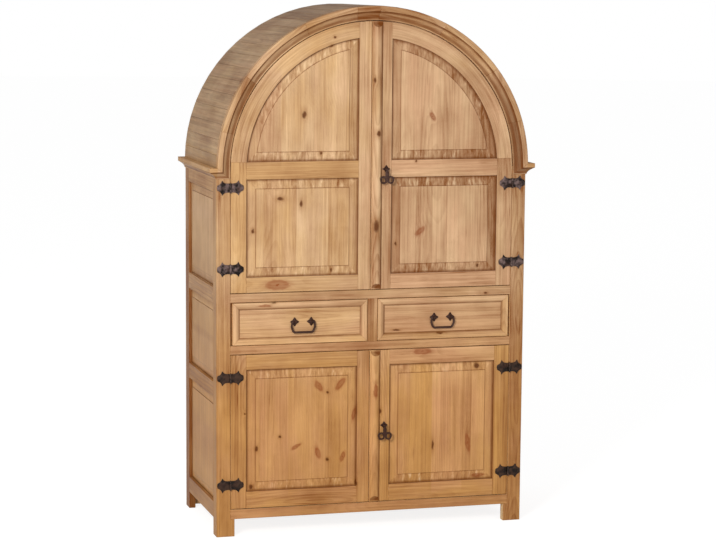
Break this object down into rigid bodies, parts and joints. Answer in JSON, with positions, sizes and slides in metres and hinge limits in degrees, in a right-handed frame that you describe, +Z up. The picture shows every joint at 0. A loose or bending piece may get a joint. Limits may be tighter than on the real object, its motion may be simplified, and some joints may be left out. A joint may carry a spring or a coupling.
{
  "type": "arch-topped panelled cupboard",
  "caption": "Arch-topped pine cupboard: raised-panel doors above and below drawers, planked barrel hood, moulded arch trim, side cornices, wrought-iron hinges, drop pulls and bails.",
  "frame": {"origin": "on the floor under the middle of the whole cabinet, mouldings included", "axes": "+X to the viewer's right along the front, +Y from the doors to the back, +Z up"},
  "size_m": [1.279, 0.589, 2.0055],
  "materials": {
    "waxed_pine": "knotty pine, waxed to a warm honey brown",
    "unfinished_pine": "plain sawn pine, oiled thinly",
    "wrought_iron": "hand-forged iron, dark and slightly violet brown"
  },
  "bodies": {
    "cabinet": {"left_front_post": "waxed_pine", "right_front_post": "waxed_pine", "left_back_post": "waxed_pine", "right_back_post": "waxed_pine", "left_side_rails": "waxed_pine", "right_side_rails": "waxed_pine", "left_side_panels": "waxed_pine", "right_side_panels": "waxed_pine", "front_rails": "waxed_pine", "drawer_divider": "waxed_pine", "front_arch": "waxed_pine", "back_arch": "waxed_pine", "hood_staves": "waxed_pine", "arch_trim": "waxed_pine", "side_cornices": "waxed_pine", "back_boards": "unfinished_pine", "back_rails": "unfinished_pine", "bottom_board": "unfinished_pine", "drawer_case_boards": "unfinished_pine", "shelves": "unfinished_pine", "shelf_cleats": "unfinished_pine", "drawer_guides": "unfinished_pine", "door_stops": "unfinished_pine", "frame_hinge_leaves": "wrought_iron", "hinge_pins": "wrought_iron"},
    "upper_left_door": {"upper_left_stiles": "waxed_pine", "upper_left_arch": "waxed_pine", "upper_left_rails": "waxed_pine", "upper_left_panels": "waxed_pine", "upper_left_hinge_leaves": "wrought_iron"},
    "lower_left_door": {"lower_left_stiles": "waxed_pine", "lower_left_rails": "waxed_pine", "lower_left_panel": "waxed_pine", "lower_left_hinge_leaves": "wrought_iron"},
    "left_drawer": {"left_drawer_front": "waxed_pine", "left_drawer_moulding": "waxed_pine", "left_drawer_box": "unfinished_pine", "left_rosettes": "wrought_iron"},
    "left_drawer_bail": {"left_bail": "wrought_iron"},
    "upper_right_door": {"upper_right_stiles": "waxed_pine", "upper_right_arch": "waxed_pine", "upper_right_rails": "waxed_pine", "upper_right_panels": "waxed_pine", "upper_right_hinge_leaves": "wrought_iron", "upper_astragal": "waxed_pine", "upper_pull_plate": "wrought_iron"},
    "lower_right_door": {"lower_right_stiles": "waxed_pine", "lower_right_rails": "waxed_pine", "lower_right_panel": "waxed_pine", "lower_right_hinge_leaves": "wrought_iron", "lower_astragal": "waxed_pine", "lower_pull_plate": "wrought_iron"},
    "right_drawer": {"right_drawer_front": "waxed_pine", "right_drawer_moulding": "waxed_pine", "right_drawer_box": "unfinished_pine", "right_rosettes": "wrought_iron"},
    "right_drawer_bail": {"right_bail": "wrought_iron"},
    "upper_door_drop": {"upper_drop_pull": "wrought_iron"},
    "lower_door_drop": {"lower_drop_pull": "wrought_iron"}
  },
  "joints": [
    {"name": "upper_left_door_hinge", "type": "hinge", "parent": "cabinet", "child": "upper_left_door", "pos_m": [-0.556, -0.2765, 1.177], "axis": [0, 0, -1], "range_deg": [0, 130]},
    {"name": "upper_right_door_hinge", "type": "hinge", "parent": "cabinet", "child": "upper_right_door", "pos_m": [0.556, -0.2765, 1.177], "axis": [0, 0, 1], "range_deg": [0, 130]},
    {"name": "lower_left_door_hinge", "type": "hinge", "parent": "cabinet", "child": "lower_left_door", "pos_m": [-0.556, -0.2765, 0.405], "axis": [0, 0, -1], "range_deg": [0, 170]},
    {"name": "lower_right_door_hinge", "type": "hinge", "parent": "cabinet", "child": "lower_right_door", "pos_m": [0.556, -0.2765, 0.405], "axis": [0, 0, 1], "range_deg": [0, 170]},
    {"name": "left_drawer_slide", "type": "slide", "parent": "cabinet", "child": "left_drawer", "axis": [0, -1, 0], "range_m": [0, 0.35]},
    {"name": "left_bail_swing", "type": "hinge", "parent": "left_drawer", "child": "left_drawer_bail", "pos_m": [-0.2732, -0.2735, 0.817], "axis": [-1, 0, 0], "range_deg": [0, 90]},
    {"name": "right_drawer_slide", "type": "slide", "parent": "cabinet", "child": "right_drawer", "axis": [0, -1, 0], "range_m": [0, 0.35]},
    {"name": "right_bail_swing", "type": "hinge", "parent": "right_drawer", "child": "right_drawer_bail", "pos_m": [0.2805, -0.2735, 0.817], "axis": [-1, 0, 0], "range_deg": [0, 90]},
    {"name": "upper_drop_swing", "type": "hinge", "parent": "upper_right_door", "child": "upper_door_drop", "pos_m": [0.049, -0.2855, 1.3915], "axis": [-1, 0, 0], "range_deg": [0, 90]},
    {"name": "lower_drop_swing", "type": "hinge", "parent": "lower_right_door", "child": "lower_door_drop", "pos_m": [0.049, -0.2855, 0.4045], "axis": [-1, 0, 0], "range_deg": [0, 90]}
  ]
}
